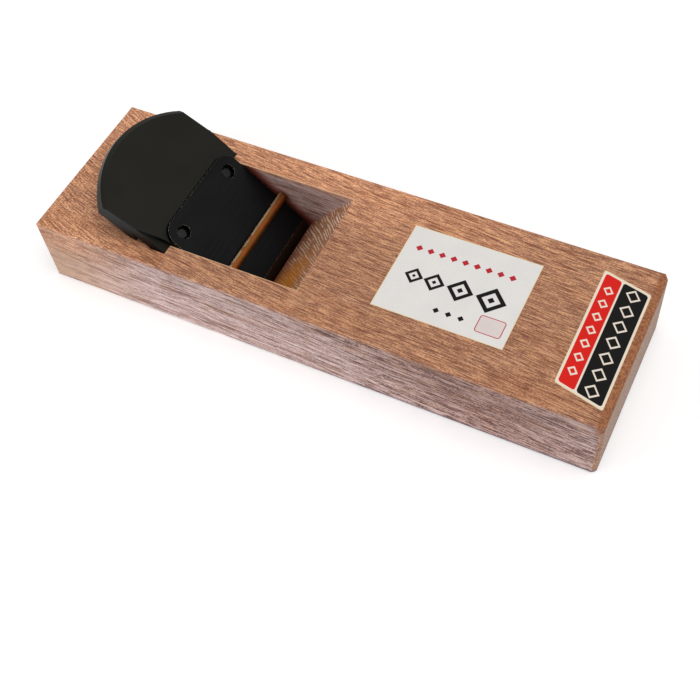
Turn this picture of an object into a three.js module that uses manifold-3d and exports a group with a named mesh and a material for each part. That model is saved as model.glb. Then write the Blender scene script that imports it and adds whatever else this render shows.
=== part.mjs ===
import * as THREE from 'three';
import { mergeVertices } from 'three/addons/utils/BufferGeometryUtils.js';
import Module from 'manifold-3d';

// A Japanese pull plane for a replaceable blade. Lengths are in millimetres.
// +X is the way the plane is pulled, +Z is up, and the origin is the middle of the sole.

// Wooden body
const body_length = 270;
const body_width = 82;
const body_height = 36.5;
const pull_end_chamfer = 1.8;
const edge_ease = 0.6;

// Mouth, bed and throat of the body
const mouth_from_tail = 106.2;
const mouth_gap = 1.6;
const lip_height = 9.5;
const chip_edge_from_mouth = 22.3;
const throat_width = 55.6;
const bed_angle = THREE.MathUtils.degToRad(41);
const chip_slope_angle = THREE.MathUtils.degToRad(47.4);

// Clearances
const seat_gap = 0.3;
const groove_side_gap = 0.3;
const breaker_side_gap = 0.4;
const rod_fit = 0.2;
const blade_advance = 0.6;
const cut_overrun = 5;

// Replaceable blade
const blade_span = 65;
const blade_depth = 17.5;
const blade_thickness = 1.2;
const blade_grind_angle = THREE.MathUtils.degToRad(28);
const edge_retraction = 0.5;
const edge_land = 0.1;
const ear_inset = 6.4;
const ear_rise = 6.1;
const blade_slot_length = 20;
const blade_slot_width = 7;
const blade_slot_from_edge = 9.8;

// Blade holder: a flat plate whose thick head slopes back from it behind a tapered neck
const holder_thickness = 5;
const holder_setback = 2.4;
const neck_width = 59;
const neck_run = 10;
const neck_drop = 1.5;
const head_side_run = 17.5;
const head_thickness = 9.3;
const head_ease = 0.5;
const head_lift = 0.7;
const crown_rise = 13.2;
const crown_thickness = 4;
const crown_bevel_width = 2.8;
const crown_bevel_depth = 4.5;
const head_slope = THREE.MathUtils.degToRad(12);

// Chip breaker and its two locating pins
const breaker_length = 60;
const breaker_thickness = 3.5;
const breaker_setback = 1.2;
const breaker_lip = 0.5;
const breaker_bevel_run = 10.5;
const breaker_hole_inset = 7.5;
const breaker_hole_radius = 3.25;
const pin_radius = 2.4;
const pin_height = 1.8;
const pin_sink = 3;

// Retaining rod that presses the chip breaker down
const rod_radius = 2.2;
const rod_from_mouth = 27.2;
const rod_blind_depth = 9;
const rod_end_sink = 0.5;

// Paper labels on the top of the body
const paper_thickness = 0.2;
const glue_thickness = 0.05;
const face_label_length = 59.5;
const face_label_width = 47;
const face_label_place_share = 0.534;
const face_label_offset = 1.2;
const end_label_length = 61;
const end_label_width = 21.9;
const end_label_skew = 5.5;
const end_label_corner = 1.2;
const end_label_from_pull_end = 3.5;
const end_label_offset = -0.5;

// Places that follow from the sizes above
const mouth_x = mouth_from_tail - body_length / 2;
const chip_edge_x = mouth_x + chip_edge_from_mouth;
const breaker_width = throat_width - 2 * breaker_side_gap;
const breaker_underside = seat_gap;
const breaker_top = breaker_underside + breaker_thickness;
const breaker_nose = edge_retraction + breaker_setback;
const breaker_end = breaker_nose + breaker_length;
const holder_nose = edge_retraction + holder_setback;
const bed_depth = holder_thickness + seat_gap;
const blade_seat_depth = blade_thickness + seat_gap;
const head_seam = breaker_end + seat_gap;
const neck_top = breaker_top - neck_drop;
const crown = neck_run + head_side_run + crown_rise;
const crown_radius = (crown_rise ** 2 + (blade_span / 2) ** 2) / (2 * crown_rise);
const end_label_x = body_length / 2 - end_label_from_pull_end - end_label_width;

const arc_steps = 12;
const crown_steps = 96;
const rod_steps = 32;

const wasm = await Module();
wasm.setup();

// Makes a closed geometry into a solid that can be joined and cut.
function solidOf(geometry) {
  geometry.deleteAttribute('normal');
  geometry.deleteAttribute('uv');
  const merged = mergeVertices(geometry);
  const mesh = new wasm.Mesh({
    numProp: 3,
    vertProperties: merged.attributes.position.array,
    triVerts: Uint32Array.from(merged.index.array)
  });
  return new wasm.Manifold(mesh);
}

function geometryOf(solid) {
  const mesh = solid.getMesh();
  const geometry = new THREE.BufferGeometry();
  geometry.setAttribute('position', new THREE.BufferAttribute(mesh.vertProperties, 3));
  geometry.setIndex(new THREE.BufferAttribute(mesh.triVerts, 1));
  geometry.computeVertexNormals();
  return geometry;
}

function shapeOf(points) {
  return new THREE.Shape(points.map(([x, y]) => new THREE.Vector2(x, y)));
}

// An outline seen from above, extruded upwards from a height.
function planPrism(shape, height, base) {
  const options = { depth: height, bevelEnabled: false, curveSegments: arc_steps };
  return new THREE.ExtrudeGeometry(shape, options).translate(0, 0, base);
}

// An outline seen from the side, with x along the body and y upwards, extruded across it.
function sidePrism(shape, width) {
  return planPrism(shape, width, 0).rotateX(Math.PI / 2).translate(0, width / 2, 0);
}

// An outline seen from the end, with x across the body and y upwards, extruded along it.
function endPrism(shape, length) {
  return planPrism(shape, length, -length / 2).rotateX(Math.PI / 2).rotateZ(Math.PI / 2);
}

// A rectangle with its four corners cut off, each by its own amount.
function cutRectangle(left, low, right, high, cuts) {
  const [low_left, low_right, high_right, high_left] = cuts;
  return shapeOf([
    [left + low_left, low],
    [right - low_right, low],
    [right, low + low_right],
    [right, high - high_right],
    [right - high_right, high],
    [left + high_left, high],
    [left, high - high_left],
    [left, low + low_left]
  ]);
}

// The blade frame has its origin on the sole at the mouth.
// Its x axis runs down the bed towards the edge and its z axis stands square off the bed.
const bed_frame = new THREE.Group();
bed_frame.position.set(mouth_x, 0, 0);
bed_frame.rotation.y = bed_angle;
bed_frame.updateMatrixWorld(true);

function pointOffBed(up_slope, off_bed) {
  return new THREE.Vector3(-up_slope, 0, off_bed).applyMatrix4(bed_frame.matrixWorld);
}

// How far up the bed a line parallel to it meets a height above the sole.
function upSlopeAt(height, off_bed) {
  return (height - off_bed * Math.cos(bed_angle)) / Math.sin(bed_angle);
}

// The block with its edges eased, before anything is cut into it.
function bodyBlank() {
  const half_length = body_length / 2;
  const half_width = body_width / 2;
  const plan_cuts = [edge_ease, pull_end_chamfer, pull_end_chamfer, edge_ease];
  const side_cuts = [edge_ease, edge_ease, pull_end_chamfer, edge_ease];
  const end_cuts = [edge_ease, edge_ease, edge_ease, edge_ease];
  const plan = cutRectangle(-half_length, -half_width, half_length, half_width, plan_cuts);
  const side = cutRectangle(-half_length, 0, half_length, body_height, side_cuts);
  const end = cutRectangle(-half_width, 0, half_width, body_height, end_cuts);
  return solidOf(planPrism(plan, body_height, 0))
    .intersect(solidOf(sidePrism(side, body_width)))
    .intersect(solidOf(endPrism(end, body_length)));
}

// The funnel from the chip slope down to the mouth, with the bed as its back wall.
function throatCutter() {
  const lip_corner_x = chip_edge_x - (body_height - lip_height) / Math.tan(chip_slope_angle);
  const lip_edge_x = mouth_x + mouth_gap;
  const lip_lean = (lip_corner_x - lip_edge_x) / lip_height;
  const bed_top = pointOffBed(upSlopeAt(body_height + cut_overrun, -bed_depth), -bed_depth);
  const bed_foot = pointOffBed(upSlopeAt(-cut_overrun, -bed_depth), -bed_depth);
  const outline = shapeOf([
    [bed_foot.x, bed_foot.z],
    [lip_edge_x - cut_overrun * lip_lean, -cut_overrun],
    [lip_corner_x, lip_height],
    [chip_edge_x + cut_overrun / Math.tan(chip_slope_angle), body_height + cut_overrun],
    [bed_top.x, bed_top.z]
  ]);
  return solidOf(sidePrism(outline, throat_width));
}

// The slot that both side grooves share, stopped above the sole where the holder's nose is ground away.
function grooveCutter() {
  const ear = edge_retraction + ear_rise - seat_gap;
  const foot = ear - blade_advance;
  const top = upSlopeAt(body_height, -bed_depth) + cut_overrun;
  const grind = Math.tan(blade_grind_angle);
  const foot_depth = blade_seat_depth + seat_gap + (ear - holder_nose) * grind;
  const outline = shapeOf([
    [-foot, seat_gap],
    [-top - cut_overrun, seat_gap],
    [-top - cut_overrun, -bed_depth],
    [-foot - (bed_depth - foot_depth) / grind, -bed_depth],
    [-foot, -foot_depth]
  ]);
  const slot = sidePrism(outline, blade_span + 2 * groove_side_gap);
  return solidOf(slot.applyMatrix4(bed_frame.matrixWorld));
}

function rodCylinder(radius, near_y, far_y) {
  const centre = pointOffBed(rod_from_mouth, breaker_top + seat_gap + rod_radius);
  const geometry = new THREE.CylinderGeometry(radius, radius, far_y - near_y, rod_steps);
  return geometry.translate(centre.x, (near_y + far_y) / 2, centre.z);
}

function daiBlock() {
  const near_end = -throat_width / 2 - rod_blind_depth - seat_gap;
  const rod_hole = rodCylinder(rod_radius + rod_fit, near_end, body_width / 2 + cut_overrun);
  const solid = bodyBlank()
    .subtract(throatCutter())
    .subtract(grooveCutter())
    .subtract(solidOf(rod_hole));
  return geometryOf(solid);
}

function retainingRod() {
  return rodCylinder(rod_radius, -throat_width / 2 - rod_blind_depth, body_width / 2 - rod_end_sink);
}

// The outline that the holder's plate and the blade share: full width behind, narrower at the edge.
function earedOutline(nose, end) {
  const half = blade_span / 2;
  const narrow = half - ear_inset;
  const ear = edge_retraction + ear_rise;
  return shapeOf([
    [-nose, -narrow],
    [-nose, narrow],
    [-ear, narrow],
    [-ear, half],
    [-end, half],
    [-end, -half],
    [-ear, -half],
    [-ear, -narrow]
  ]);
}

function slotOutline(length, width) {
  const reach = (length - width) / 2;
  const place = edge_retraction + blade_slot_from_edge;
  const shape = new THREE.Shape();
  shape.absarc(-place, reach, width / 2, 0, Math.PI);
  shape.absarc(-place, -reach, width / 2, Math.PI, 2 * Math.PI);
  return shape;
}

// The flat plate, ground away under its nose in line with the blade's own grind.
function holderPlate(end) {
  const grind_run = (holder_thickness - blade_seat_depth) / Math.tan(blade_grind_angle);
  const profile = shapeOf([
    [-holder_nose, 0],
    [-end, 0],
    [-end, -holder_thickness],
    [-holder_nose - grind_run, -holder_thickness],
    [-holder_nose, -blade_seat_depth]
  ]);
  const plan = planPrism(earedOutline(holder_nose, end), holder_thickness, -holder_thickness);
  return solidOf(plan).intersect(solidOf(sidePrism(profile, blade_span)));
}

// The head's outline in its own plane: a neck that widens into long parallel sides.
function headOutline() {
  const half = blade_span / 2;
  const taper = (half - neck_width / 2) / neck_run;
  const start = -breaker_hole_inset;
  const start_half = neck_width / 2 + taper * start;
  return shapeOf([
    [-start, -start_half],
    [-start, start_half],
    [-neck_run, half],
    [-crown, half],
    [-crown, -half],
    [-neck_run, -half]
  ]);
}

// The round crown as a thick disc, with a bevel in two flats turned on its upper edge.
function crownDisc(depth) {
  const flat_share = Math.SQRT1_2;
  const profile = [
    [0, -depth],
    [crown_radius, -depth],
    [crown_radius, -crown_bevel_depth],
    [crown_radius - crown_bevel_width * (1 - flat_share), -crown_bevel_depth * (1 - flat_share)],
    [crown_radius - crown_bevel_width, 0],
    [0, 0]
  ];
  const points = profile.map(([radius, height]) => new THREE.Vector2(radius, height));
  const geometry = new THREE.LatheGeometry(points, crown_steps);
  return geometry.rotateX(Math.PI / 2).translate(crown_radius - crown, 0, 0);
}

// The head seen from the side, from the neck's foot inside the plate to the crown.
function headProfile() {
  const cos = Math.cos(head_slope);
  const sin = Math.sin(head_slope);
  const reach = crown + cut_overrun;
  const crown_x = -head_seam - reach * cos;
  const crown_top = neck_top - reach * sin;
  const under = neck_top - neck_run * sin - head_thickness;
  const start_x = breaker_hole_inset - head_seam;
  return shapeOf([
    [start_x, neck_top],
    [start_x, -holder_thickness / 2],
    [-head_seam - neck_run * cos, -holder_thickness / 2],
    [-upSlopeAt(body_height + head_lift, under), under],
    [crown_x, crown_top - crown_thickness],
    [crown_x, crown_top],
    [-head_seam, neck_top]
  ]);
}

function holderHead() {
  const depth = 2 * head_thickness;
  const half = blade_span / 2;
  const bar_shape = cutRectangle(-half, -depth, half, 0, [0, 0, head_ease, head_ease]);
  const bar = endPrism(bar_shape, 2 * crown + cut_overrun);
  const slab = solidOf(planPrism(headOutline(), depth, -depth))
    .intersect(solidOf(crownDisc(depth)))
    .intersect(solidOf(bar));
  const placed = geometryOf(slab).rotateY(-head_slope).translate(-head_seam, 0, neck_top);
  return solidOf(placed).intersect(solidOf(sidePrism(headProfile(), blade_span + cut_overrun)));
}

// The chip breaker seen from above, grown all round by a clearance.
function breakerOutline(grown) {
  const half = breaker_width / 2 + grown;
  const end = breaker_end + grown;
  const radius = breaker_hole_inset + grown;
  const shape = new THREE.Shape();
  shape.moveTo(-breaker_nose + grown, -half);
  shape.lineTo(-breaker_nose + grown, half);
  shape.lineTo(-end + radius, half);
  shape.absarc(-end + radius, half - radius, radius, Math.PI / 2, Math.PI);
  shape.absarc(-end + radius, -half + radius, radius, Math.PI, 1.5 * Math.PI);
  return shape;
}

function pinPlace(side) {
  const y = side * (breaker_width / 2 - breaker_hole_inset);
  return new THREE.Vector2(breaker_hole_inset - breaker_end, y);
}

function pinCylinder(side, radius, low, high) {
  const place = pinPlace(side);
  const geometry = new THREE.CylinderGeometry(radius, radius, high - low, rod_steps);
  return geometry.rotateX(Math.PI / 2).translate(place.x, place.y, (low + high) / 2);
}

function bladeHolder() {
  const plate_end = head_seam + neck_run;
  const seat_end = edge_retraction + blade_depth + seat_gap;
  const seat = new THREE.BoxGeometry(seat_end + cut_overrun, blade_span + cut_overrun, cut_overrun);
  seat.translate((cut_overrun - seat_end) / 2, 0, cut_overrun / 2 - blade_seat_depth);
  const boss_inset = 2 * seat_gap;
  const boss = slotOutline(blade_slot_length - boss_inset, blade_slot_width - boss_inset);
  const boss_base = -(holder_thickness + blade_seat_depth) / 2;
  const pocket = planPrism(breakerOutline(seat_gap), cut_overrun, 0);
  let solid = holderPlate(plate_end)
    .subtract(solidOf(seat))
    .add(solidOf(planPrism(boss, -boss_base, boss_base)))
    .add(holderHead())
    .subtract(solidOf(pocket));
  for (const side of [-1, 1]) {
    const hole = pinCylinder(side, pin_radius + seat_gap, -pin_sink - seat_gap, cut_overrun);
    solid = solid.subtract(solidOf(hole));
  }
  return geometryOf(solid);
}

function locatingPin(side) {
  return pinCylinder(side, pin_radius, -pin_sink, pin_height);
}

// A thin blade, ground from below to its edge, with ears that run in the grooves.
function replaceableBlade() {
  const end = edge_retraction + blade_depth;
  const grind_run = (blade_thickness - edge_land) / Math.tan(blade_grind_angle);
  const profile = shapeOf([
    [-edge_retraction, 0],
    [-end, 0],
    [-end, -blade_thickness],
    [-edge_retraction - grind_run, -blade_thickness],
    [-edge_retraction, -edge_land]
  ]);
  const plan = earedOutline(edge_retraction, end);
  plan.holes.push(slotOutline(blade_slot_length, blade_slot_width));
  const flat = solidOf(planPrism(plan, blade_thickness, -blade_thickness));
  return geometryOf(flat.intersect(solidOf(sidePrism(profile, blade_span))));
}

// A flat plate with round upper corners, a long bevel down to its lip and a hole over each pin.
function chipBreaker() {
  const outline = breakerOutline(0);
  for (const side of [-1, 1]) {
    const place = pinPlace(side);
    const hole = new THREE.Path();
    hole.absarc(place.x, place.y, breaker_hole_radius, 0, 2 * Math.PI);
    outline.holes.push(hole);
  }
  const profile = shapeOf([
    [-breaker_nose, breaker_underside],
    [-breaker_nose, breaker_underside + breaker_lip],
    [-breaker_nose - breaker_bevel_run, breaker_top],
    [-breaker_end, breaker_top],
    [-breaker_end, breaker_underside]
  ]);
  const flat = solidOf(planPrism(outline, breaker_thickness, breaker_underside));
  return geometryOf(flat.intersect(solidOf(sidePrism(profile, breaker_width))));
}

// The face label lies at its share of the clear top between the throat and the end label.
function faceLabel() {
  const geometry = new THREE.BoxGeometry(face_label_length, face_label_width, paper_thickness);
  const x = THREE.MathUtils.lerp(chip_edge_x, end_label_x, face_label_place_share);
  const z = body_height + glue_thickness + paper_thickness / 2;
  return geometry.translate(x, face_label_offset, z);
}

// A slanted label with round corners, cut from a parallelogram.
function endLabel() {
  const left = end_label_x;
  const right = left + end_label_width;
  const half = end_label_length / 2;
  const skew = end_label_skew / 2;
  const corners = [
    new THREE.Vector2(left, -half + skew),
    new THREE.Vector2(right, -half - skew),
    new THREE.Vector2(right, half - skew),
    new THREE.Vector2(left, half + skew)
  ];
  const shape = new THREE.Shape();
  corners.forEach((corner, index) => {
    const before = corners[(index + corners.length - 1) % corners.length];
    const after = corners[(index + 1) % corners.length];
    const into = before.clone().sub(corner).setLength(end_label_corner).add(corner);
    const out = after.clone().sub(corner).setLength(end_label_corner).add(corner);
    if (index === 0) {
      shape.moveTo(into.x, into.y);
    } else {
      shape.lineTo(into.x, into.y);
    }
    shape.quadraticCurveTo(corner.x, corner.y, out.x, out.y);
  });
  const geometry = planPrism(shape, paper_thickness, body_height + glue_thickness);
  return geometry.translate(0, end_label_offset, 0);
}

function piece(name, geometry, material) {
  const mesh = new THREE.Mesh(geometry, material);
  mesh.name = name;
  return mesh;
}

const wood = new THREE.MeshStandardMaterial({ color: '#b07e5c', roughness: 0.65, metalness: 0 });
const brass = new THREE.MeshStandardMaterial({ color: '#a97c45', roughness: 0.35, metalness: 1 });
const black_enamel = new THREE.MeshStandardMaterial({ color: '#26261f', roughness: 0.45, metalness: 0 });
const blued_steel = new THREE.MeshStandardMaterial({ color: '#1b1c1e', roughness: 0.4, metalness: 0.2 });
const blade_steel = new THREE.MeshStandardMaterial({ color: '#c9c6bd', roughness: 0.25, metalness: 1 });
const paper = new THREE.MeshStandardMaterial({ color: '#e6e3dc', roughness: 0.8, metalness: 0 });

const body_group = new THREE.Group();
body_group.add(
  piece('dai_block', daiBlock(), wood),
  piece('retaining_rod', retainingRod(), brass),
  piece('face_label', faceLabel(), paper),
  piece('end_label', endLabel(), paper)
);

bed_frame.add(
  piece('blade_holder', bladeHolder(), black_enamel),
  piece('locating_pin_near', locatingPin(-1), black_enamel),
  piece('locating_pin_far', locatingPin(1), black_enamel),
  piece('replaceable_blade', replaceableBlade(), blade_steel),
  piece('chip_breaker', chipBreaker(), blued_steel)
);

const plane = new THREE.Group();
plane.add(body_group, bed_frame);

export default plane;
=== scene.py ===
import math
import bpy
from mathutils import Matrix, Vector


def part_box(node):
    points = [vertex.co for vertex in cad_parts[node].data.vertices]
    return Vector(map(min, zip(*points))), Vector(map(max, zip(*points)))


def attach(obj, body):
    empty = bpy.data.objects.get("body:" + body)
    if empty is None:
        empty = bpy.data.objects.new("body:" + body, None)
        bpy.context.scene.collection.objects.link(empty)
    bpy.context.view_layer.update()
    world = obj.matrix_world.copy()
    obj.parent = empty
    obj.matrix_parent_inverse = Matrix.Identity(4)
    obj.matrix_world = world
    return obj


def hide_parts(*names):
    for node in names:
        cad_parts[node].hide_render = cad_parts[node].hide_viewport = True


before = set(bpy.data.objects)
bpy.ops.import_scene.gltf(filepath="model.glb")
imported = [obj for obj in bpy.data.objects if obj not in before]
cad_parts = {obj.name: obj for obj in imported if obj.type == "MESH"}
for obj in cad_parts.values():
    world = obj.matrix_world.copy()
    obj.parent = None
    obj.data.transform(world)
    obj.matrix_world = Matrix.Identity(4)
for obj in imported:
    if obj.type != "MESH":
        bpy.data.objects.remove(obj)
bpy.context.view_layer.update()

from types import SimpleNamespace

import bmesh
import bpy
from bpy.props import FloatProperty, FloatVectorProperty, PointerProperty
from mathutils import Matrix, Vector

bl_info = {
    "name": "Japanese Pull Plane",
    "version": (1, 0, 0),
    "blender": (4, 5, 0),
    "location": "3D View > Sidebar > Plane",
    "description": "Dresses a wooden pull plane: oak body, blade holder, chip breaker, labels",
    "category": "Object",
}

# The object's frame is in metres: the plane is pulled along +X, +Z is up and the sole is at zero.
MM = 0.001
BODY_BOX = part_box("dai_block")
FACE_LABEL_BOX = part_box("face_label")
END_LABEL_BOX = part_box("end_label")

# The materials work in millimetres, and so do the places and lengths from here to INK_BLEED.
# The bed leans back from the mouth; the slope in front of the throat leans the other way.
TOP = BODY_BOX[1].z / MM
MOUTH = Vector((-28.8, 0, 0))
BED_ANGLE = math.radians(41)
OFF_BED = Vector((math.sin(BED_ANGLE), 0, math.cos(BED_ANGLE)))
BREAKER_FACE = 3.8
CHIP_EDGE = Vector((-6.5, 0, 36.5))
CHIP_SLOPE_ANGLE = math.radians(47.4)
UP_CHIP_SLOPE = Vector((math.cos(CHIP_SLOPE_ANGLE), 0, math.sin(CHIP_SLOPE_ANGLE)))
OFF_CHIP_SLOPE = Vector((-math.sin(CHIP_SLOPE_ANGLE), 0, math.cos(CHIP_SLOPE_ANGLE)))
THROAT_HALF_WIDTH = 27.8
THROAT_BACK_X = -78
ROD_AXIS = Vector((-45.19, 0, 22.6))
ROD_RADIUS = 2.2
OIL_FRONT_Z = TOP - 6.2
FACE_LABEL_SIZE = (59.5, 47)
END_LABEL_SIZE = (21.9, 60.6)
END_LABEL_SLANT = 5.5
INK_BLEED = 0.08

# In a copy of a solid, vertices within MERGE_DISTANCE become one, and so do faces that turn by
# less than FLAT_ANGLE. An edge sharper than CREASE_ANGLE stays a crease in the shading.
MERGE_DISTANCE = 0.001 * MM
FLAT_ANGLE = math.radians(0.4)
CREASE_ANGLE = math.radians(40)
EDGE_STEPS = 3

# The camera was fitted to the photograph's view, with its lens measured in the picture's pixels.
# Its place is in metres, its turn in degrees and its shift a share of the picture.
PICTURE_WIDTH = 700
LENS_PIXELS = 1112.74
CAMERA_PLACE = (0.16947, -0.26458, 0.41078)
CAMERA_TURN = (34.1027, 3.9241, 25.9642)
CAMERA_SHIFT = (-0.02, 0.01)


def linear(hex_colour):
    """Turns an sRGB hex colour into linear red, green and blue."""
    channels = [int(hex_colour[i:i + 2], 16) / 255 for i in (1, 3, 5)]
    return [c / 12.92 if c <= 0.04045 else ((c + 0.055) / 1.055) ** 2.4 for c in channels]


def colour(label, text, hex_colour):
    """A colour that the user can change."""
    return FloatVectorProperty(
        name=label, description=text, subtype="COLOR", size=3, min=0, max=1,
        default=linear(hex_colour),
    )


def length(label, text, millimetres):
    """A length that the user can change."""
    return FloatProperty(
        name=label, description=text, subtype="DISTANCE", unit="LENGTH", min=0, precision=5,
        default=millimetres * MM,
    )


class WoodLook(bpy.types.PropertyGroup):
    """Colours and grain of the planed oak body"""

    face_pale: colour("Pale Grain", "Latewood on the top of the body", "#d49d75")
    face_base: colour("Base", "Main colour of the top", "#b37f5e")
    face_dark: colour("Dark Grain", "Earlywood on the top", "#8f5f48")
    face_warm: colour("Warm Patches", "Redder patches of the top", "#b26c3c")
    side_pale: colour("Side Pale Grain", "Latewood on the sides", "#e8d2ce")
    side_base: colour("Side Base", "Main colour of the sides", "#c4a7a3")
    side_dark: colour("Side Dark Grain", "Earlywood on the sides", "#7d615a")
    side_warm: colour("Side Warm Patches", "Tan patches of the sides", "#ba967c")
    # Painted shade: this tint darkens the sides toward the pull end and upward.
    side_pull_end_shade: colour("Side Pull End Shade", "Darker tint of the sides near the pull end", "#d5c3bd")
    end_grain: colour("End Grain", "Open grain of the two ends", "#9c8473")
    end_rim: colour("Oiled Chamfer", "Oil drunk by the chamfer of the pull end", "#a66835")
    end_rim_dark: colour("Oiled Chamfer Pores", "Oil in the pores of that chamfer", "#78391c")
    # Painted shade along the sole's arris.
    sole_shade: colour("Painted shade", "Dirt on the arris of the sole", "#625e78")
    hairline: colour("Hairlines", "Shade of the fine lines between fibres", "#bfa698")
    pore: colour("Pores", "Open pores that hold dust and oil", "#6b4431")
    fleck: colour("Flecks", "Short pale rays beside the pores", "#dcab86")
    # Painted shade in the throat: deep down and round the rod's end, then two bands by the chip
    # breaker.
    deep_shade: colour("Deep Throat Shade", "Painted shade deep in the throat and round the rod", "#5e281c")
    gap_shade: colour("Gap Shade", "Painted shade in the gap beside the chip breaker", "#43130a")
    outer_gap_shade: colour("Outer Gap Shade", "Painted shade further up the same wall", "#7b2d15")
    gold: colour("Oiled Slope", "Oil on the near end of the chip slope", "#ba701a")
    stroke: colour("Tool Strokes", "Raised fibres beside the strokes on the chip slope", "#ebccb4")
    # The arris colour paints a highlight along the throat's edges, and also the pale line where
    # the oil on the pull end stopped.
    arris: colour("Arris", "Painted highlight along the edges of the throat", "#e6bd94")
    ring_spacing: length("Ring Spacing", "Distance between growth rings", 1.4)
    pore_length: length("Pore Length", "Length of an open pore", 9.0)
    pore_width: length("Pore Width", "Width of an open pore", 0.6)
    stroke_spacing: length("Stroke Spacing", "Distance between strokes on the chip slope", 1.3)
    edge_radius: length("Edge Radius", "Rounding of the body's edges", 0.25)


class MetalLook(bpy.types.PropertyGroup):
    """Colours and edges of the metal pieces"""

    enamel: colour("Enamel", "Black enamel of the blade holder", "#15140d")
    # Painted on the holder's sides: a greyer tint as a painted reflection, and painted shade low
    # down.
    enamel_side_reflection: colour("Enamel Sides", "Painted reflection on the holder's sides", "#212629")
    enamel_low_shade: colour("Enamel Low Shade", "Painted shade low on those sides", "#050404")
    # Worn enamel on the edges, drawn lighter as a painted highlight.
    enamel_wear_highlight: colour("Enamel Edge", "Enamel rubbed thin along the edges and lightened as a painted highlight", "#66665f")
    blued: colour("Blued Steel", "Oxide layer of the chip breaker", "#1b1b1c")
    blued_rubbed: colour("Rubbed Bevel", "Brown oxide where shavings rub the bevel", "#443328")
    # Worn steel on the edges, drawn lighter as a painted highlight.
    blued_wear_highlight: colour("Blued Edge", "Steel through the oxide at the edges, lightened as a painted highlight", "#a39b86")
    tarnish: colour("Tarnish", "Brown tarnish round the rod", "#754820")
    spots: colour("Tarnish Spots", "Redder spots of tarnish on the rod", "#8a4520")
    # The brass colour shows only on the rod's strip that faces the holder: a painted highlight.
    brass: colour("Brass", "Tarnished brass of the rod", "#ecc8a2")
    blade: colour("Blade Steel", "Ground steel of the blade", "#c6c3bb")
    pin: colour("Pin Steel", "Bare steel of the locating pins", "#2b2b2c")
    edge_radius: length("Edge Radius", "Rounding of the edges of the rod and the holder", 0.3)
    pin_radius: length("Pin Edge Radius", "Rounding of the pins' edges", 0.45)
    breaker_radius: length("Breaker Edge Radius", "Rounding of the chip breaker's edges", 0.48)


class LabelLook(bpy.types.PropertyGroup):
    """Paper and ink of the two labels"""

    paper: colour("Face Paper", "Coated paper of the face label", "#e8e5e1")
    border: colour("End Paper", "Cream paper of the end label", "#efe2d2")
    cut_edge: colour("Cut Edge", "Cream stock that shows where the paper is cut", "#f0dcb4")
    red: colour("Red Ink", "Red of the strip", "#dc221b")
    crimson: colour("Crimson Ink", "Crimson of the small diamonds and the outline", "#bb2a35")
    black: colour("Black Ink", "Black of the strip and the large diamonds", "#0e0d0c")


class StageLook(bpy.types.PropertyGroup):
    """Floor and light"""

    floor: colour("Floor", "Matt white floor", "#f2f2f2")
    floor_size: length("Floor Size", "Side of the square floor", 6000)
    world_light: FloatProperty(
        name="World Light", description="Strength of the even light from all round",
        subtype="FACTOR", default=0.58, min=0, max=1,
    )
    top_lamp: FloatProperty(
        name="Top Lamp", description="Power of the wide lamp above the plane", unit="POWER",
        default=5.6, min=0,
    )
    side_lamp: FloatProperty(
        name="Side Lamp", description="Power of the low lamp in front of the near side",
        unit="POWER", default=1.2, min=0,
    )


class PlaneLook(bpy.types.PropertyGroup):
    """All the sizes and colours"""

    wood: PointerProperty(type=WoodLook)
    metal: PointerProperty(type=MetalLook)
    label: PointerProperty(type=LabelLook)
    stage: PointerProperty(type=StageLook)


def add_node(tree, kind, inputs=(), output=0, **settings):
    """Adds a node, applies its settings, sets or links its inputs, and returns one output.

    kind is the node's class without ShaderNode. The inputs are in the order of the sockets, or
    a dict that names each socket.
    """
    node = tree.nodes.new("ShaderNode" + kind)
    for name, value in settings.items():
        setattr(node, name, value)
    named = inputs if isinstance(inputs, dict) else dict(enumerate(inputs))
    for socket, value in named.items():
        if isinstance(value, bpy.types.NodeSocket):
            tree.links.new(value, node.inputs[socket])
        else:
            node.inputs[socket].default_value = value
    return node.outputs[output] if node.outputs else None


def new_material(name):
    """An empty node material."""
    material = bpy.data.materials.new(name)
    material.use_nodes = True
    material.node_tree.nodes.clear()
    return material, material.node_tree


def finished(material, inputs, bumps=None):
    """The material with its shader; bumps are their height, strength and depth in millimetres."""
    tree = material.node_tree
    if bumps:
        height, strength, depth = bumps
        inputs["Normal"] = add_node(
            tree, "Bump", {"Height": height, "Strength": strength, "Distance": depth * MM})
    add_node(tree, "OutputMaterial", [add_node(tree, "BsdfPrincipled", inputs)])
    return material


def located(tree):
    """Where a point lies on the object, in millimetres, and which way its face looks."""
    metres = add_node(tree, "TexCoord", output="Object")
    place = add_node(tree, "VectorMath", {0: metres, "Scale": 1 / MM}, operation="SCALE")
    x, y, z = add_node(tree, "SeparateXYZ", [place]).node.outputs
    normal = add_node(tree, "TexCoord", output="Normal")
    return SimpleNamespace(place=place, x=x, y=y, z=z, normal=normal)


def product(tree, *factors):
    """The factors multiplied, each a link or a smooth ramp.

    A ramp is a value, where its range starts and ends, and what it gives there, else 0 and 1.
    """
    result = None
    for factor in factors:
        if isinstance(factor, tuple):
            factor = add_node(tree, "MapRange", factor, interpolation_type="SMOOTHSTEP")
        if result is not None:
            factor = add_node(tree, "Math", (result, factor), operation="MULTIPLY")
        result = factor
    return result


def total(tree, start, *terms):
    """The start plus the terms, each a value and its weight."""
    for value, weight in terms:
        start = add_node(tree, "Math", (value, weight, start), operation="MULTIPLY_ADD")
    return start


def off(tree, value, middle):
    """How far a value lies from a middle, either way."""
    difference = add_node(tree, "Math", (value, middle), operation="SUBTRACT")
    return add_node(tree, "Math", [difference], operation="ABSOLUTE")


def diagonal(tree, across, along):
    """The length of the diagonal over two sides."""
    corner = add_node(tree, "CombineXYZ", (across, along))
    return add_node(tree, "VectorMath", [corner], "Value", operation="LENGTH")


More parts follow.
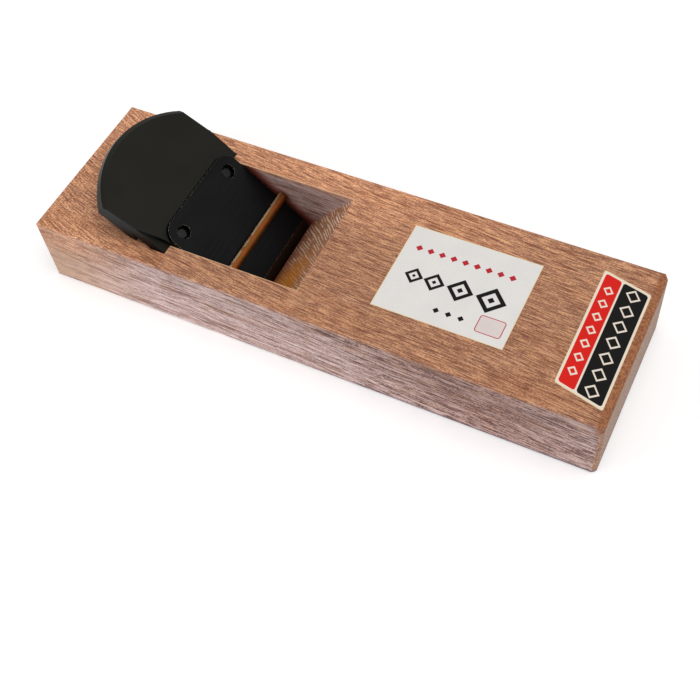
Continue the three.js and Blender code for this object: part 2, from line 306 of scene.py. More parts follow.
def distance_along(tree, place, direction, origin):
    """How far a place lies along a direction from an origin."""
    path = add_node(tree, "VectorMath", (place, origin), operation="SUBTRACT")
    return add_node(tree, "VectorMath", (path, direction), "Value", operation="DOT_PRODUCT")


def facing(tree, normal, direction, low, high, either_way=False):
    """How far a face looks along a direction: 0 below the low cosine and 1 above the high one."""
    cosine = add_node(tree, "VectorMath", (normal, direction), "Value", operation="DOT_PRODUCT")
    if either_way:
        cosine = add_node(tree, "Math", [cosine], operation="ABSOLUTE")
    return product(tree, (cosine, low, high))


def streaks(tree, place, sizes, detail, output=0):
    """Noise whose patches have these real sizes along x, y and z; detail adds finer layers."""
    scale = [1 / size for size in sizes]
    mapped = add_node(tree, "Mapping", {"Vector": place, "Scale": scale})
    return add_node(
        tree, "TexNoise", {"Vector": mapped, "Scale": 1.0, "Detail": detail}, output)


def opaque(tint):
    """A linear colour with full alpha; a link stays as it is."""
    return tint if isinstance(tint, bpy.types.NodeSocket) else (*tint, 1)


def layered(tree, under, *layers):
    """Lays tints over a colour in turn; a layer is its strength, its tint and how it mixes."""
    for strength, tint, *blend in layers:
        under = add_node(
            tree, "Mix", {0: strength, 6: opaque(under), 7: opaque(tint)}, 2,
            data_type="RGBA", blend_type=blend[0] if blend else "MIX")
    return under


def grain_colours(tree, value, dark, base, pale):
    """Three wood colours along the grain's value."""
    return layered(
        tree, dark, (product(tree, (value, 0.22, 0.5)), base),
        (product(tree, (value, 0.5, 0.8)), pale))


def body_point(tree):
    """A point of the body, with the part of the body that it lies on.

    Each pair of cosines lets one part's look run out softly over the rounded edge.
    """
    point = located(tree)
    point.on_top = facing(tree, point.normal, (0, 0, 1), 0.4, 0.6)
    point.on_side = facing(tree, point.normal, (0, 1, 0), 0.6, 0.9, either_way=True)
    point.on_end = facing(tree, point.normal, (1, 0, 0), 0.86, 0.96, either_way=True)
    point.at_tail = product(tree, (point.x, -120, -70, 1.0, 0.0))
    point.off_middle = off(tree, point.y, 0.0)
    return point


def wandering(tree, point):
    """The place as the grain sees it: it slants and wanders, and the top's bends at the tail."""
    sway = (0, 12, 12)
    slant = 0.08
    bend_start = 85
    bend = -0.0037
    wander = streaks(tree, point.place, (150, 50, 50), 1.0, "Color")
    swayed = add_node(tree, "VectorMath", (wander, sway, point.place), operation="MULTIPLY_ADD")
    past = total(tree, bend_start, (point.x, 1.0))
    past = add_node(tree, "Math", (past, 0.0), operation="MINIMUM")
    sideways = product(
        tree, total(tree, 0.0, (point.x, slant), (product(tree, past, past), bend)),
        point.on_top)
    upwards = product(
        tree, total(tree, 0.0, (point.x, slant)), total(tree, 1.0, (point.on_top, -1.0)))
    shift = add_node(tree, "CombineXYZ", (0.0, sideways, upwards))
    return add_node(tree, "VectorMath", (swayed, shift), operation="ADD")


def growth_ring(tree, place, spacing):
    """0 to 1 and back across each growth ring, round a pith far below and beyond the block."""
    from_pith = (0, -100, 130)
    rings_rippled = 2.4
    across = add_node(tree, "VectorMath", (place, (0, 1, 1), from_pith), operation="MULTIPLY_ADD")
    radius = add_node(tree, "VectorMath", [across], "Value", operation="LENGTH")
    ripple = streaks(tree, place, (60, 9, 9), 1.0)
    rings = total(tree, 0.0, (radius, 1 / spacing), (ripple, rings_rippled))
    return add_node(tree, "Math", (rings, 1.0), operation="PINGPONG")


def oak_grain(tree, point, look):
    """What the wood's colours follow: its rings, bands, fibres and specks.

    A real fibre is some 0.02 mm wide and would not show, so the fibres are drawn 0.45 to 0.6 mm
    wide. The specks are the cut ends of fibres and are drawn as coarse.
    """
    place = wandering(tree, point)
    return SimpleNamespace(
        place=place,
        ring=growth_ring(tree, place, look.ring_spacing / MM),
        band=streaks(tree, place, (90, 4, 4), 1.0),
        fibre=streaks(tree, place, (6, 0.45, 0.45), 0.0),
        long_fibre=streaks(tree, place, (30, 0.6, 0.6), 0.0),
        speck=total(tree, -0.225, (streaks(tree, point.place, (0.9, 0.6, 0.6), 0.0), 0.45)))


def top_grain(tree, point, grain):
    """The grain's value on the top; it is curlier and more speckled near the tail.

    The weights give the wood the contrast that the real one has at each scale.
    """
    threads = total(
        tree, -0.83, (grain.band, 0.03), (grain.ring, 0.06), (grain.long_fibre, 0.45),
        (grain.fibre, 1.12))
    return total(
        tree, 0.455, (threads, total(tree, 1.0, (point.at_tail, 0.2))),
        (grain.speck, total(tree, 1.9, (point.at_tail, 1.6))))


def top_colour(tree, point, value, look):
    """The top is tan, with warmer patches; its far edge, the tail's near part and the near rim are
    painted lighter, as painted light.
    """
    patch = streaks(tree, point.place, (60, 20, 20), 2.0)
    face = layered(
        tree, grain_colours(tree, value, look.face_dark, look.face_base, look.face_pale),
        (product(tree, (patch, 0.45, 0.65, 0.0, 0.16)), look.face_warm))
    # Painted light: the far edge, the tail's near part and the near rim are drawn lighter, as
    # where more light falls.
    far_edge_light = product(
        tree, (point.y, 0, 36, 0.0, 0.52), (point.x, -20, 110, 1.0, 0.25),
        (point.x, -130, -80, 0.85, 1.0))
    tail = product(tree, (point.x, -135, -85, 0.33, 0.0), (point.y, 0, 35, 1.0, 0.0))
    near_rim_light = product(
        tree, (point.y, -36, -32, 0.22, 0.0), (point.x, -128, -112),
        (point.x, -85, -50, 1.0, 0.2))
    paler = total(tree, 1.0, (far_edge_light, 1.0), (tail, 1.0), (near_rim_light, 1.0))
    return add_node(tree, "VectorMath", {0: face, "Scale": paler}, operation="SCALE")


def side_colour(tree, point, grain, face, look):
    """The sides are paler and pinker, and the top's tan runs a little over the arris."""
    # The heart mask is painted shade: it darkens the sides toward the pull end and upward, and
    # strengthens their grain there.
    heart = product(
        tree, (total(tree, 0.0, (point.z, 1.2), (point.x, 1.0)), 16, 100),
        (point.x, 90, 135, 1.0, 0.5))
    threads = total(
        tree, -0.75, (grain.fibre, 0.75), (grain.long_fibre, 0.75), (grain.speck, 1.0))
    contrast = product(
        tree, total(tree, 0.95, (heart, 1.7)), (point.off_middle, 30, 36, 0.6, 1.0))
    value = total(tree, 0.4, (grain.band, 0.12), (grain.ring, 0.12), (threads, contrast))
    patch = streaks(tree, point.place, (30, 10, 6), 2.0)
    tan = add_node(
        tree, "Math", (
            product(tree, (patch, 0.5, 0.68, 0.0, 0.22)),
            product(tree, (point.x, -135, -65, 0.85, 0.0))), operation="MAXIMUM")
    side = layered(
        tree, grain_colours(tree, value, look.side_dark, look.side_base, look.side_pale),
        (tan, look.side_warm), (heart, look.side_pull_end_shade, "MULTIPLY"))
    # Painted light and shade: the sides are drawn lighter low down and darker near the top.
    lit = product(tree, (point.z, 0, TOP, 1.12, 0.83))
    side = add_node(tree, "VectorMath", {0: side, "Scale": lit}, operation="SCALE")
    over_arris = product(tree, (point.z, TOP - 3, TOP, 0.0, 0.6))
    down_tail = product(tree, (point.z, 14, 29, 0.0, 0.55), point.at_tail)
    like_top = add_node(tree, "Math", (over_arris, down_tail), operation="MAXIMUM")
    return layered(tree, side, (like_top, face))


def fibre_lines(tree, place, length_along, apart):
    """Thin dark lines where fibres part; real ones are finer and are drawn coarser, to show."""
    wave = streaks(tree, place, (length_along, apart, apart), 1.0)
    gaps = streaks(tree, place, (length_along * 0.4, apart * 1.15, apart * 1.15), 0.0)
    return product(tree, (off(tree, wave, 0.5), 0.0, 0.055, 1.0, 0.0), (gaps, 0.42, 0.56))


def hairlines(tree, point, grain):
    """Fibres part in short lines on the top and in longer ones, further apart, on the sides."""
    on_top = product(
        tree, fibre_lines(tree, grain.place, 30, 1.4), (point.on_side, 0.0, 1.0, 0.95, 0.0))
    on_side = product(
        tree, fibre_lines(tree, grain.place, 90, 2.6), (point.on_side, 0.0, 1.0, 0.0, 0.9))
    return add_node(tree, "Math", (on_top, on_side), operation="MAXIMUM")


def pores_and_flecks(tree, grain, look):
    """Short dark pores that crowd in the dark part of each ring, and the pale rays between.

    Real pores are 0.2 to 0.3 mm wide and are drawn about twice as wide, so that they show.
    """
    sizes = [size / MM for size in (look.pore_length, look.pore_width, look.pore_width)]
    crowd = total(tree, -0.67, (streaks(tree, grain.place, sizes, 0.0), 1.0), (grain.ring, 0.06))
    elsewhere = add_node(tree, "VectorMath", (grain.place, (300, 200, 100)), operation="ADD")
    fleck = (streaks(tree, elsewhere, sizes, 0.0), 0.62, 0.74, 0.0, 0.4)
    return product(tree, (crowd, -0.02, 0.03)), product(tree, fleck)


def end_colours(tree, point, grain, value, wood, look):
    """Colours the dull end grain, and the oil that the pull end's chamfer has drunk.

    The oil has crept over the faces beside the chamfer, and a pale line marks where it stopped.
    """
    end_value = total(tree, 0.0, (grain.ring, 0.18), (value, 0.82))
    end_tone = grain_colours(tree, end_value, look.face_dark, look.end_grain, look.side_warm)
    speckle = product(tree, (streaks(tree, point.place, (0.9,) * 3, 1.0), 0.35, 0.65))
    oil = layered(tree, look.end_rim_dark, (speckle, look.end_rim))
    crept = product(tree, (point.x, 130.5, 132.5), (point.z, TOP - 6, TOP - 5, 0.0, 0.75))
    oil_front = product(
        tree, (off(tree, point.z, OIL_FRONT_Z), 0.2, 0.6, 0.6, 0.0),
        facing(tree, point.normal, (1, 0, 0), 0.86, 0.96))
    return layered(
        tree, wood, (point.on_end, end_tone), (crept, oil), (oil_front, look.arris))


def chip_strokes(tree, place, spacing):
    """Strokes of a chisel over the chip slope: thin straight lines that fan out from one point.

    The point lies in the slope's plane, above its top and off the near side, and fan_radius is
    about how far it is from the strokes.
    """
    pivot = CHIP_EDGE + UP_CHIP_SLOPE * 158 + Vector((0, -126.5, 0))
    fan_radius = 210
    down = distance_along(tree, place, -UP_CHIP_SLOPE, pivot)
    over = distance_along(tree, place, (0, 1, 0), pivot)
    angle = add_node(tree, "Math", (over, down), operation="ARCTAN2")
    beside = total(tree, 0.0, (angle, fan_radius))
    fan = add_node(tree, "CombineXYZ", (diagonal(tree, down, over), beside))
    jitter = streaks(tree, fan, (30, 3, 1000), 1.0)
    combed = total(tree, 0.0, (beside, 1 / spacing), (jitter, 1.6))
    comb = add_node(tree, "Math", (combed, 0.5), operation="PINGPONG")
    gap = streaks(tree, fan, (13, 2, 1000), 0.0)
    return product(tree, (comb, 0.26, 0.42), (gap, 0.4, 0.52))


def chip_slope(tree, point, wood, look):
    """Colours the chip slope, which is shaded, oiled at its near end and marked by strokes."""
    on_slope = facing(tree, point.normal, OFF_CHIP_SLOPE, 0.95, 0.99)
    shade = total(tree, 1.0, (product(tree, on_slope, (point.y, -10, 20, 0.2, 0.34)), -1.0))
    oiled = product(tree, (point.y, -17, 8, 0.95, 0.0), on_slope, (point.z, 25, 37, 1.0, 0.0))
    strokes = product(
        tree, chip_strokes(tree, point.place, look.stroke_spacing / MM), on_slope)
    shown = product(
        tree, (point.y, 0, 22, 0.62, 1.0), (oiled, 0.1, 0.8, 1.0, 0.3), strokes)
    wood = add_node(tree, "VectorMath", {0: wood, "Scale": shade}, operation="SCALE")
    return layered(tree, wood, (oiled, look.gold), (shown, look.stroke)), strokes


def throat_shade(tree, point, wood, look):
    """Darkens the throat with painted shade: deep down, round the rod's end, and by the chip
    breaker, darkest nearest to it.
    """
    wall = THROAT_HALF_WIDTH + 0.7
    looks_down = facing(tree, point.normal, (0, 0, -1), 0.8, 0.95)
    in_throat = product(
        tree, (point.off_middle, wall, wall + 1, 1.0, 0.0),
        (point.x, CHIP_EDGE.x, CHIP_EDGE.x + 1, 1.0, 0.0),
        (point.x, THROAT_BACK_X - 2, THROAT_BACK_X - 1), total(tree, 1.0, (looks_down, -1.0)))
    on_cheek = product(tree, in_throat, point.on_side)
    off_bed = distance_along(tree, point.place, OFF_BED, MOUTH)
    off_rod = diagonal(
        tree, total(tree, -ROD_AXIS.x, (point.x, 1.0)), total(tree, -ROD_AXIS.z, (point.z, 1.0)))
    # All four layers are painted shade: deep down, round the rod's end, and two bands beside the
    # chip breaker.
    return layered(
        tree, wood,
        (product(tree, in_throat, (point.z, 6, 22, 0.85, 0.0)), look.deep_shade),
        (product(tree, on_cheek, (off_bed, BREAKER_FACE + 2, BREAKER_FACE + 7, 0.85, 0.0)),
         look.outer_gap_shade),
        (product(tree, on_cheek, (off_rod, ROD_RADIUS + 0.1, ROD_RADIUS + 3.3, 0.8, 0.0)),
         look.deep_shade),
        (product(tree, on_cheek, (off_bed, BREAKER_FACE + 0.3, BREAKER_FACE + 3, 0.9, 0.0)),
         look.gap_shade))


def planed_oak(look):
    """Oak, planed and oiled: long pale and dark grain with short open pores and a silky sheen."""
    material, tree = new_material("Oak, planed and oiled")
    point = body_point(tree)
    grain = oak_grain(tree, point, look)
    value = top_grain(tree, point, grain)
    face = top_colour(tree, point, value, look)
    side = side_colour(tree, point, grain, face, look)
    pore, fleck = pores_and_flecks(tree, grain, look)
    wood = layered(
        tree, face, (point.on_side, side),
        (hairlines(tree, point, grain), look.hairline, "MULTIPLY"),
        (fleck, look.fleck, "LIGHTEN"), (total(tree, 0.0, (pore, 0.52)), look.pore))
    wood = end_colours(tree, point, grain, value, wood, look)

    # Painted shade darkens the lower arris, most of all near the pull end.
    sole_shade = product(tree, (point.z, 1, 2.2, 0.62, 0.0), (point.x, -30, 50, 0.25, 1.0))
    wood, strokes = chip_slope(tree, point, layered(tree, wood, (sole_shade, look.sole_shade)), look)
    wood = throat_shade(tree, point, wood, look)

    # The worn mask below is a painted highlight: a pale line along the throat's arris.
    worn = product(
        tree, (off(tree, point.off_middle, THROAT_HALF_WIDTH), 0.2, 0.6, 0.7, 0.0),
        (point.x, CHIP_EDGE.x, CHIP_EDGE.x + 1, 1.0, 0.0),
        (point.x, THROAT_BACK_X, THROAT_BACK_X + 1), (point.z, TOP - 0.6, TOP - 0.2))
    wood = layered(tree, wood, (worn, look.arris))

    # Wiped oil leaves far less gloss than a varnish does.
    height = total(tree, 0.0, (value, 1.0), (strokes, 1.2), (pore, -1.0))
    dull = product(tree, (value, 0.2, 0.8, 0.62, 0.48))
    inputs = {"Base Color": wood, "Roughness": dull, "Specular IOR Level": 0.3}
    return finished(material, inputs, (height, 0.5, 0.08))


def baked_enamel(look, name, tint, side_reflection_tint, roughness):
    """Enamel, sprayed and baked on steel: near black with a satin gloss and a fine orange peel.

    Real peel is some 0.5 mm across and is drawn 1.2 mm across, so that it shows.
    """
    material, tree = new_material(name)
    point = located(tree)
    peel = streaks(tree, point.place, (1.2,) * 3, 2.0)
    patch = streaks(tree, point.place, (20,) * 3, 3.0)
    darker = [channel * 0.8 for channel in tint]
    lighter = [channel * 1.25 for channel in tint]
    coat = layered(tree, darker, (product(tree, (patch, 0.3, 0.7)), lighter))
    # The side faces get the side tint above, a painted reflection, and a near-black tint low down,
    # painted shade.
    above_low_shade = product(tree, (point.z, 40, 46))
    side = layered(tree, look.enamel_low_shade, (above_low_shade, side_reflection_tint))
    on_side = facing(tree, point.normal, (0, 1, 0), 0.6, 0.9, either_way=True)
    coat = layered(tree, coat, (on_side, side))
    satin = product(tree, (patch, 0.3, 0.7, roughness + 0.05, roughness - 0.05))
    inputs = {"Base Color": coat, "Roughness": satin, "Specular IOR Level": 0.12}
    return finished(material, inputs, (peel, 0.35, 0.03))


def worked_metal(
        name, tint, roughness, line_sizes, contrast, strength, rubbed=None, spots=None):
    """Metal with fine lines left by its tool; their sizes are along x, y and z.

    Real lines are under 0.1 mm wide and are drawn 0.4 to 0.7 mm wide, so that they show; a worn
    edge has blotches of 4 mm in their place. contrast is how much they change the tint, and
    strength how much they stand out as bumps. rubbed is a direction, the tint of the faces that
    look along it, and the two cosines between which it sets in. spots is the tint of spots of
    tarnish and their size.
    """
    material, tree = new_material(name)
    point = located(tree)
    line = streaks(tree, point.place, line_sizes, 2.0)
    patch = streaks(tree, point.place, (15,) * 3, 3.0)
    value = total(tree, 0.0, (patch, 0.4), (line, 0.6))
    darker = [channel * (1 - contrast) for channel in tint]
    lighter = [min(1.0, channel * (1 + contrast)) for channel in tint]
    surface = layered(tree, darker, (product(tree, (value, 0.3, 0.7)), lighter))
    if rubbed:
        direction, rubbed_tint, low, high = rubbed
        surface = layered(
            tree, surface, (facing(tree, point.normal, direction, low, high), rubbed_tint))
    if spots:
        spot_tint, size = spots
        spot = streaks(tree, point.place, (size,) * 3, 2.0)
        surface = layered(
            tree, surface, (product(tree, (spot, 0.48, 0.64, 0.0, 0.7)), spot_tint))
    satin = product(tree, (value, 0.3, 0.7, roughness + 0.07, roughness - 0.07))
    inputs = {"Base Color": surface, "Roughness": satin, "Metallic": 1.0}
    return finished(material, inputs, (line, strength, 0.02))


def round_rectangle(tree, u, v, centre, size, radius):
    """Distance outside a rectangle with round corners, in millimetres; it is negative inside."""
    over = [
        total(tree, radius - side / 2, (off(tree, value, middle), 1.0))
        for value, middle, side in zip((u, v), centre, size)]
    outside = [add_node(tree, "Math", (value, 0.0), operation="MAXIMUM") for value in over]
    larger = add_node(tree, "Math", over, operation="MAXIMUM")
    inside = add_node(tree, "Math", (larger, 0.0), operation="MINIMUM")
    return total(tree, -radius, (diagonal(tree, *outside), 1.0), (inside, 1.0))


def diamond(tree, u, v, centre, size):
    """Distance outside a diamond whose corners lie this far from its centre, in millimetres."""
    # A side lies at 45 degrees, so the way square to it is 0.7 of the way along u or v.
    square_to_side = 0.7
    return total(
        tree, -square_to_side * size, (off(tree, u, centre[0]), square_to_side),
        (off(tree, v, centre[1]), square_to_side))


def lined(tree, shape, width):
    """Distance outside a line drawn along a shape's edge; the line is this wide on each side."""
    return total(tree, -width, (off(tree, shape, 0.0), 1.0))


def inked(tree, distance, full=1.0):
    """The ink's strength: full inside a printed shape, 0 outside, as soft as the ink bleeds."""
    return product(tree, (distance, -INK_BLEED, INK_BLEED, full, 0.0))


def label_sheet(tree, box, size, slant, paper, cut_edge):
    """A label's paper with its pale cut edge, and the two ways across it from its middle."""
    point = located(tree)
    middle = (box[0] + box[1]) / 2 / MM
    u = distance_along(tree, point.place, (1, 0, 0), middle)
    v = distance_along(tree, point.place, (slant / size[0], 1, 0), middle)
    sheet = round_rectangle(tree, u, v, (0, 0), size, 0.3)
    printed = layered(tree, paper, (product(tree, (sheet, -0.5, -0.3, 0.0, 0.8)), cut_edge))
    return point, u, v, printed


def coated_paper(material, point, printed):
    """Coated paper: faint fibres in the colour and a smooth matt face.

    Real paper fibres are some 0.03 mm wide and are drawn 0.9 mm wide, so that they show.
    """
    tree = material.node_tree
    fibres = streaks(tree, point.place, (0.9,) * 3, 3.0)
    mottle = streaks(tree, point.place, (12,) * 3, 2.0)
    faint = total(
        tree, product(tree, (mottle, 0.3, 0.7, 0.965, 1.0)),
        (product(tree, (fibres, 0.3, 0.7, -0.015, 0.015)), 1.0))
    printed = add_node(tree, "VectorMath", {0: printed, "Scale": faint}, operation="SCALE")
    inputs = {"Base Color": printed, "Roughness": 0.55, "Specular IOR Level": 0.1}
    return finished(material, inputs, (fibres, 0.2, 0.02))


def face_label_paper(look):
    """Paper, coated and offset printed: pale grey-white with diamonds and a tinted outline."""
    material, tree = new_material("Coated paper, face label")
    point, u, v, printed = label_sheet(
        tree, FACE_LABEL_BOX, FACE_LABEL_SIZE, 0, look.paper, look.cut_edge)

    # A row of small red diamonds, four outlined black ones that grow, and three small black ones.
    filled = [(look.crimson, (-23.0 + 5.4 * step, 12.2), 1.7) for step in range(9)]
    filled += [(look.black, (-3.0 + 5.6 * step, -15.8), 1.5) for step in range(3)]
    for centre, size, line, heart in (
            ((-19.0, -2.6), 3.4, 0.65, 0.9), ((-9.6, -2.6), 3.9, 0.7, 1.1),
            ((2.2, -2.4), 4.9, 0.85, 1.5), ((16.2, -2.2), 5.6, 0.95, 1.7)):
        outline = lined(tree, diamond(tree, u, v, centre, size), line)
        printed = layered(tree, printed, (inked(tree, outline), look.black))
        filled.append((look.black, centre, heart))
    for ink, centre, size in filled:
        shape = diamond(tree, u, v, centre, size)
        printed = layered(tree, printed, (inked(tree, shape), ink))

    # A thin crimson outline with round corners and a light tint inside.
    frame_line = round_rectangle(tree, u, v, (21.0, -14.8), (11.2, 8.6), 1.2)
    printed = layered(
        tree, printed, (inked(tree, frame_line, 0.16), look.crimson),
        (inked(tree, lined(tree, frame_line, 0.2)), look.crimson))
    return coated_paper(material, point, printed)


def end_label_paper(look):
    """Paper, coated and offset printed: a cream border round a red and a black strip."""
    material, tree = new_material("Coated paper, end label")
    point, u, v, printed = label_sheet(
        tree, END_LABEL_BOX, END_LABEL_SIZE, END_LABEL_SLANT, look.border, look.cut_edge)

    # Each strip is printed in one ink, and a row of seven outlined diamonds is left cream in it.
    strip_length = 58.4
    for ink, middle, width in ((look.red, -6.05, 7.5), (look.black, 4.2, 11.4)):
        strip = round_rectangle(tree, u, v, (middle, 0), (width, strip_length), 1.2)
        printed = layered(tree, printed, (inked(tree, strip), ink))
    for middle, pitch, size in ((-6.05, 7.2, 1.9), (4.2, 8.4, 2.9)):
        in_cell = add_node(tree, "Math", (v, pitch / 2, -pitch / 2), operation="WRAP")
        outline = lined(tree, diamond(tree, u, in_cell, (middle, 0.0), size), 0.36)
        past_row = total(tree, -pitch * 7 / 2, (off(tree, v, 0.0), 1.0))
        row = add_node(tree, "Math", (outline, past_row), operation="MAXIMUM")
        printed = layered(tree, printed, (inked(tree, row), look.border))
    return coated_paper(material, point, printed)


def rounded_copy(node, name, body, materials, radius, sharp_degrees=28):
    """Copies a solid, rounds its sharp edges and lets the copy stand for the solid."""
    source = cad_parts[node].data
    mesh = bpy.data.meshes.new(name)
    mesh.from_pydata(
        [vertex.co[:] for vertex in source.vertices], [],
        [face.vertices[:] for face in source.polygons])
    shape = bmesh.new()
    shape.from_mesh(mesh)
    bmesh.ops.remove_doubles(shape, verts=shape.verts[:], dist=MERGE_DISTANCE)
    bmesh.ops.dissolve_limit(
        shape, angle_limit=FLAT_ANGLE, verts=shape.verts[:], edges=shape.edges[:])
    bmesh.ops.recalc_face_normals(shape, faces=shape.faces[:])
    if radius:
        sharp = [
            edge for edge in shape.edges
            if edge.is_manifold and edge.calc_face_angle() > math.radians(sharp_degrees)]
        bmesh.ops.bevel(
            shape, geom=sharp, offset=radius, offset_type="OFFSET", segments=EDGE_STEPS,
            profile=0.5, affect="EDGES", clamp_overlap=True,
            material=1 if len(materials) > 1 else -1)
    for face in shape.faces:
        face.smooth = True
    for edge in shape.edges:
        if edge.is_manifold and edge.calc_face_angle() > CREASE_ANGLE:
            edge.smooth = False
    shape.to_mesh(mesh)
    shape.free()
    piece = bpy.data.objects.new(name, mesh)
    bpy.context.scene.collection.objects.link(piece)
    for material in materials:
        mesh.materials.append(material)
    shading = piece.modifiers.new("Flat faces", "WEIGHTED_NORMAL")
    shading.keep_sharp = True
    shading.weight = 100
    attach(piece, body)
    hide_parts(node)


class KANNA_OT_body(bpy.types.Operator):
    """Dress the wooden body in planed oak with softly rounded edges"""

    bl_idname = "kanna.body"
    bl_label = "Body"

    def execute(self, context):
        look = context.scene.plane_look.wood
        rounded_copy(
            "dai_block", "body_block", "body", [planed_oak(look)], look.edge_radius)
        return {"FINISHED"}


class KANNA_OT_rod(bpy.types.Operator):
    """Dress the retaining rod in drawn brass"""

    bl_idname = "kanna.rod"
    bl_label = "Retaining Rod"

    def execute(self, context):
        look = context.scene.plane_look.metal
        # Brass, drawn and tarnished: warm gold with fine lines along the rod, and brown with
        # tarnish all round but for a strip that faces the holder, which is kept bright as a
        # painted highlight.
        brass = worked_metal(
            "Brass, drawn and tarnished", look.brass, roughness=0.5, line_sizes=(0.7, 6, 0.7),
            contrast=0.3, strength=0.2, rubbed=((0.954, 0, -0.3), look.tarnish, -0.8, -0.22),
            spots=(look.spots, 3))
        rounded_copy(
            "retaining_rod", "rod_bar", "body", [brass], look.edge_radius)
        return {"FINISHED"}


class KANNA_OT_holder(bpy.types.Operator):
    """Dress the blade holder in baked black enamel"""

    bl_idname = "kanna.holder"
    bl_label = "Blade Holder"

    def execute(self, context):
        look = context.scene.plane_look.metal
        enamel = baked_enamel(
            look, "Black enamel, baked", look.enamel, look.enamel_side_reflection, roughness=0.4)
        # The rubbed material is worn enamel on the rounded edges, lightened as a painted
        # highlight.
        rubbed = baked_enamel(
            look, "Black enamel, worn edge and painted highlight", look.enamel_wear_highlight, look.enamel_wear_highlight, roughness=0.34)
        rounded_copy(
            "blade_holder", "holder_plate", "blade_set", [enamel, rubbed],
            look.edge_radius, sharp_degrees=12)
        return {"FINISHED"}


class KANNA_OT_pins(bpy.types.Operator):
    """Dress the two locating pins in turned steel"""

    bl_idname = "kanna.pins"
    bl_label = "Locating Pins"

    def execute(self, context):
        look = context.scene.plane_look.metal
        # Steel, turned bare: dark grey with a dull shine.
        steel = worked_metal(
            "Steel, turned", look.pin, roughness=0.42, line_sizes=(0.6,) * 3, contrast=0.2,
            strength=0.2)
        for side in ("near", "far"):
            rounded_copy(
                "locating_pin_" + side, "pin_" + side, "blade_set", [steel],
                look.pin_radius)
        return {"FINISHED"}


class KANNA_OT_blade(bpy.types.Operator):
    """Dress the replaceable blade in ground steel"""

    bl_idname = "kanna.blade"
    bl_label = "Replaceable Blade"

    def execute(self, context):
        look = context.scene.plane_look.metal
        # Tool steel, surface ground: bright with hairlines square to the edge.
        steel = worked_metal(
            "Tool steel, surface ground", look.blade, roughness=0.28, line_sizes=(20, 0.4, 20),
            contrast=0.12, strength=0.15)
        rounded_copy("replaceable_blade", "blade", "blade_set", [steel], 0)
        return {"FINISHED"}


class KANNA_OT_breaker(bpy.types.Operator):
    """Dress the chip breaker in brushed blued steel"""

    bl_idname = "kanna.breaker"
    bl_label = "Chip Breaker"

    def execute(self, context):
        look = context.scene.plane_look.metal
        # Steel, brushed and blued: neutral black oxide, brown on the bevel that shavings rub, and
        # worn to grey steel at the edges, which are lightened further as a painted highlight.
        off_bevel = OFF_BED.copy()
        off_bevel.rotate(Matrix.Rotation(math.radians(16), 3, "Y"))
        blued = worked_metal(
            "Steel, brushed and blued", look.blued, roughness=0.42, line_sizes=(0.6, 30, 0.6),
            contrast=0.14, strength=0.1, rubbed=(off_bevel, look.blued_rubbed, 0.972, 0.99))
        worn = worked_metal(
            "Blued steel, worn edge and painted highlight", look.blued_wear_highlight, roughness=0.55, line_sizes=(4,) * 3,
            contrast=0.5, strength=0.2)
        rounded_copy(
            "chip_breaker", "breaker_plate", "blade_set", [blued, worn],
            look.breaker_radius, sharp_degrees=12)
        return {"FINISHED"}


class KANNA_OT_face_label(bpy.types.Operator):
    """Print the face label"""

    bl_idname = "kanna.face_label"
    bl_label = "Face Label"

    def execute(self, context):
        look = context.scene.plane_look.label
        rounded_copy(
            "face_label", "face_label_sheet", "body", [face_label_paper(look)], 0)
        return {"FINISHED"}


class KANNA_OT_end_label(bpy.types.Operator):
    """Print the end label"""

    bl_idname = "kanna.end_label"
    bl_label = "End Label"

    def execute(self, context):
        look = context.scene.plane_look.label
        rounded_copy(
            "end_label", "end_label_sheet", "body", [end_label_paper(look)], 0)
        return {"FINISHED"}


def seen_white(tree):
    """1 for rays of the camera, of gloss and through glass, and 0 for the light on the object."""
    seen = add_node(tree, "LightPath", output="Is Camera Ray")
    for ray in ("Is Glossy Ray", "Is Transmission Ray"):
        other = add_node(tree, "LightPath", output=ray)
        seen = add_node(tree, "Math", (seen, other), operation="MAXIMUM")
    return seen


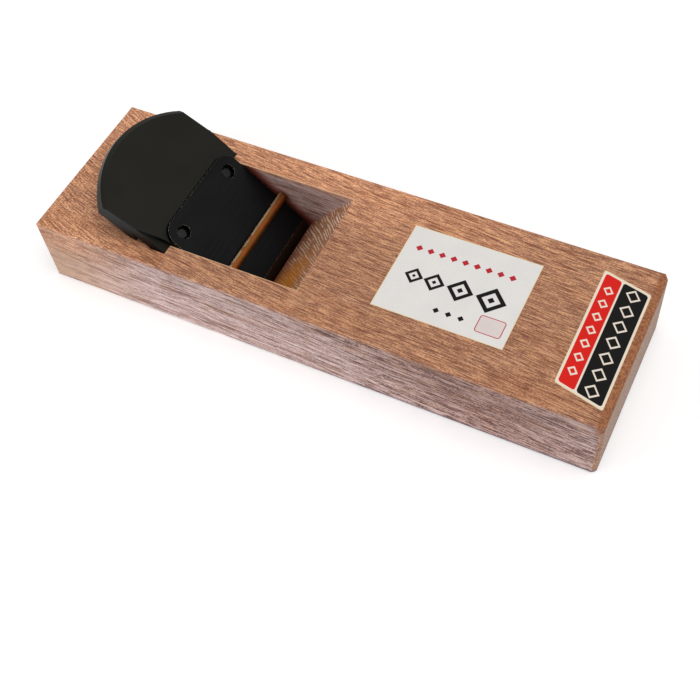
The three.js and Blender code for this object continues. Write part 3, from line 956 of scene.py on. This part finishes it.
class KANNA_OT_stage(bpy.types.Operator):
    """Lay the floor and set the lights and the camera"""

    bl_idname = "kanna.stage"
    bl_label = "Stage"

    def execute(self, context):
        look = context.scene.plane_look.stage
        self.floor(look)
        self.world(context.scene, look)
        self.lamp("top_lamp", place=(0.35, -0.1, 1.2), size=1.0, watts=look.top_lamp)
        self.lamp("side_lamp", place=(-0.45, -0.5, 0.13), size=0.3, watts=look.side_lamp)
        self.camera(context.scene)
        context.scene.view_settings.view_transform = "Standard"
        return {"FINISHED"}

    def floor(self, look):
        """A wide matt sheet under the sole, which the camera sees lifted to white."""
        half = look.floor_size / 2
        mesh = bpy.data.meshes.new("floor")
        mesh.from_pydata(
            [(-half, -half, 0), (half, -half, 0), (half, half, 0), (-half, half, 0)], [],
            [(0, 1, 2, 3)])
        floor = bpy.data.objects.new("floor", mesh)
        bpy.context.scene.collection.objects.link(floor)
        material, tree = new_material("Floor, matt white")
        # Far from the lamps the floor is lifted more, so that it stays white up to the horizon.
        place = located(tree).place
        far_off = add_node(tree, "VectorMath", [place], "Value", operation="LENGTH")
        lift = product(tree, seen_white(tree), (far_off, 300, 1600, 0.28, 0.5))
        mesh.materials.append(finished(material, {
            "Base Color": opaque(look.floor), "Roughness": 0.9, "Specular IOR Level": 0.0,
            "Emission Color": (1, 1, 1, 1), "Emission Strength": lift}))

    def world(self, scene, look):
        """Even light from all round, which the camera sees as plain white."""
        world = bpy.data.worlds.new("Even light")
        world.use_nodes = True
        tree = world.node_tree
        tree.nodes.clear()
        strength = total(tree, look.world_light, (seen_white(tree), 1.0 - look.world_light))
        light = add_node(tree, "Background", {"Color": (1, 1, 1, 1), "Strength": strength})
        add_node(tree, "OutputWorld", {"Surface": light})
        scene.world = world

    def lamp(self, name, place, size, watts):
        """A round soft lamp that shines at the plane's middle and isn't seen itself."""
        data = bpy.data.lights.new(name, "AREA")
        data.shape = "DISK"
        data.size = size
        data.energy = watts
        lamp = bpy.data.objects.new(name, data)
        lamp.visible_camera = False
        lamp.location = place
        lamp.rotation_euler = (-Vector(place)).to_track_quat("-Z", "Y").to_euler()
        bpy.context.scene.collection.objects.link(lamp)

    def camera(self, scene):
        """The photograph's view."""
        data = bpy.data.cameras.new("camera")
        data.sensor_width = 36
        data.lens = LENS_PIXELS / PICTURE_WIDTH * data.sensor_width
        data.shift_x, data.shift_y = CAMERA_SHIFT
        data.clip_start = 0.01
        data.clip_end = 20
        camera = bpy.data.objects.new("camera", data)
        camera.location = CAMERA_PLACE
        camera.rotation_euler = [math.radians(angle) for angle in CAMERA_TURN]
        scene.collection.objects.link(camera)
        scene.camera = camera


class KANNA_PT_parts(bpy.types.Panel):
    """Lists the pieces of the plane with their sizes and colours"""

    bl_label = "Pull Plane"
    bl_idname = "KANNA_PT_parts"
    bl_space_type = "VIEW_3D"
    bl_region_type = "UI"
    bl_category = "Plane"

    def draw(self, context):
        look = context.scene.plane_look
        for operator in OPERATORS:
            self.layout.operator(operator.bl_idname)
        for group in (look.wood, look.metal, look.label, look.stage):
            box = self.layout.box()
            for name in group.bl_rna.properties.keys():
                if name not in ("rna_type", "name"):
                    box.prop(group, name)


LOOKS = (WoodLook, MetalLook, LabelLook, StageLook, PlaneLook)
OPERATORS = (
    KANNA_OT_body, KANNA_OT_rod, KANNA_OT_holder, KANNA_OT_pins, KANNA_OT_blade,
    KANNA_OT_breaker, KANNA_OT_face_label, KANNA_OT_end_label, KANNA_OT_stage,
)


def register():
    for kind in (*LOOKS, *OPERATORS, KANNA_PT_parts):
        bpy.utils.register_class(kind)
    bpy.types.Scene.plane_look = PointerProperty(type=PlaneLook)


def unregister():
    del bpy.types.Scene.plane_look
    for kind in reversed((*LOOKS, *OPERATORS, KANNA_PT_parts)):
        bpy.utils.unregister_class(kind)


def main():
    register()
    for operator in OPERATORS:
        group, name = operator.bl_idname.split(".")
        getattr(getattr(bpy.ops, group), name)()


if __name__ == "__main__":
    main()
